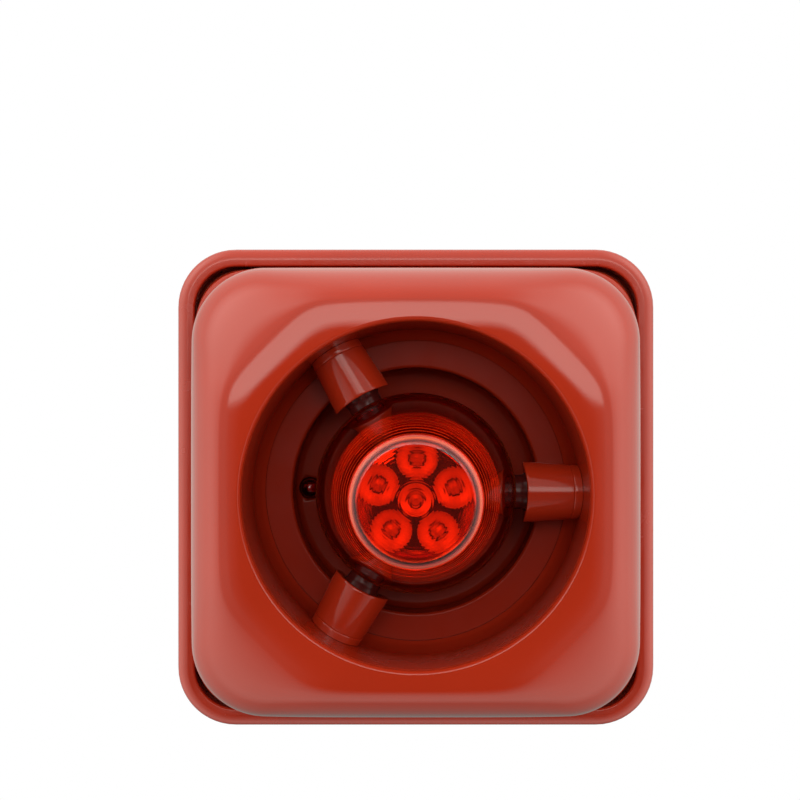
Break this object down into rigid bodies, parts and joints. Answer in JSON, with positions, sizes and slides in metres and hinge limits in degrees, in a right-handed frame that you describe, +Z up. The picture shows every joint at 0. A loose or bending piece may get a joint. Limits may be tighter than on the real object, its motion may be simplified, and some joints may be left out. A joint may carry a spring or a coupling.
{
  "type": "alarm siren",
  "caption": "Square red wall siren: a flared horn mouth in a rounded cover, a tapered red strobe lens held in its middle on radial arms, and a back box that the head swings open from.",
  "frame": {"origin": "centre of the back box's flat rear face, on the wall plane", "axes": "+Y into the wall, the front faces -Y, +Z up, +X to the right when seen from the front"},
  "size_m": [0.12, 0.107, 0.12],
  "materials": {
    "red_plastic": "smooth satin-gloss moulded ABS in signal red",
    "red_lens": "clear red polycarbonate, polished, with fine turned ribs",
    "dark_red_plastic": "very dark red glossy polycarbonate",
    "black_plastic": "fine-grained black moulding",
    "seal_rubber": "matt black elastomer",
    "circuit_board": "green solder mask over glass laminate",
    "plated_steel": "bright zinc plate",
    "reflector_metal": "vacuum-metallised, mirror bright",
    "contact_brass": "tin-brass, drawn",
    "coil_copper": "enamelled copper wire",
    "ferrite": "sintered dark grey ferrite",
    "white_plastic": "off-white moulding",
    "blue_plastic": "blue thermoplastic",
    "lamp_epoxy": "clear cast epoxy over a yellow die"
  },
  "bodies": {
    "base": {"back_box": "red_plastic", "base_gasket": "seal_rubber", "cable_grommet": "seal_rubber", "terminal_board": "circuit_board", "terminal_block": "black_plastic", "terminal_screw_1": "contact_brass", "terminal_screw_2": "contact_brass", "terminal_screw_3": "contact_brass", "terminal_screw_4": "contact_brass", "contact_spring_1": "contact_brass", "contact_spring_2": "contact_brass", "contact_spring_3": "contact_brass", "contact_spring_4": "contact_brass"},
    "head": {"front_cover": "red_plastic", "horn_insert": "red_plastic", "strobe_arm_1": "red_plastic", "strobe_arm_2": "red_plastic", "strobe_arm_3": "red_plastic", "lens_seal": "seal_rubber", "diaphragm_surround": "seal_rubber", "main_board": "circuit_board", "sounder_chip": "black_plastic", "driver_basket": "black_plastic", "tamper_body": "black_plastic", "strobe_lead": "black_plastic", "arm_screw_1": "plated_steel", "arm_screw_2": "plated_steel", "driver_top_plate": "plated_steel", "driver_yoke": "plated_steel", "main_board_screw_1": "plated_steel", "main_board_screw_2": "plated_steel", "main_board_screw_3": "plated_steel", "main_board_screw_4": "plated_steel", "strobe_hub": "dark_red_plastic", "beacon_lens": "red_lens", "indicator_led": "red_lens", "led_board": "white_plastic", "reflector": "reflector_metal", "strobe_led_1": "lamp_epoxy", "strobe_led_2": "lamp_epoxy", "strobe_led_3": "lamp_epoxy", "strobe_led_4": "lamp_epoxy", "strobe_led_5": "lamp_epoxy", "strobe_led_6": "lamp_epoxy", "driver_magnet": "ferrite", "transformer": "ferrite", "capacitor_1": "blue_plastic", "capacitor_2": "blue_plastic", "dip_switch_body": "blue_plastic", "volume_body": "blue_plastic"},
    "diaphragm": {"diaphragm_dome": "white_plastic", "voice_coil": "coil_copper"},
    "volume_rotor": {"volume_rotor": "white_plastic"},
    "dip_lever_1": {"dip_lever_1": "white_plastic"},
    "dip_lever_2": {"dip_lever_2": "white_plastic"},
    "dip_lever_3": {"dip_lever_3": "white_plastic"},
    "dip_lever_4": {"dip_lever_4": "white_plastic"},
    "tamper_plunger": {"tamper_plunger": "white_plastic"}
  },
  "joints": [
    {"name": "head_swing", "type": "hinge", "parent": "base", "child": "head", "pos_m": [0, -0.033, 0.0552], "axis": [-1, 0, 0], "range_deg": [0, 50]},
    {"name": "diaphragm_travel", "type": "slide", "parent": "head", "child": "diaphragm", "axis": [0, -1, 0], "range_m": [-0.0004, 0.0004], "stiffness_N_per_m": 2000},
    {"name": "volume_turn", "type": "hinge", "parent": "head", "child": "volume_rotor", "pos_m": [-0.036, -0.024, -0.013], "axis": [0, 1, 0], "range_deg": [0, 270]},
    {"name": "dip_lever_1_slide", "type": "slide", "parent": "head", "child": "dip_lever_1", "axis": [1, 0, 0], "range_m": [0, 0.002]},
    {"name": "dip_lever_2_slide", "type": "slide", "parent": "head", "child": "dip_lever_2", "axis": [1, 0, 0], "range_m": [0, 0.002]},
    {"name": "dip_lever_3_slide", "type": "slide", "parent": "head", "child": "dip_lever_3", "axis": [1, 0, 0], "range_m": [0, 0.002]},
    {"name": "dip_lever_4_slide", "type": "slide", "parent": "head", "child": "dip_lever_4", "axis": [1, 0, 0], "range_m": [0, 0.002]},
    {"name": "tamper_travel", "type": "slide", "parent": "head", "child": "tamper_plunger", "axis": [0, 1, 0], "range_m": [0, 0.0015]}
  ],
  "couplings": [
    {"joint": "tamper_travel", "follows": "head_swing", "m_per_rad": 0.0017188}
  ]
}
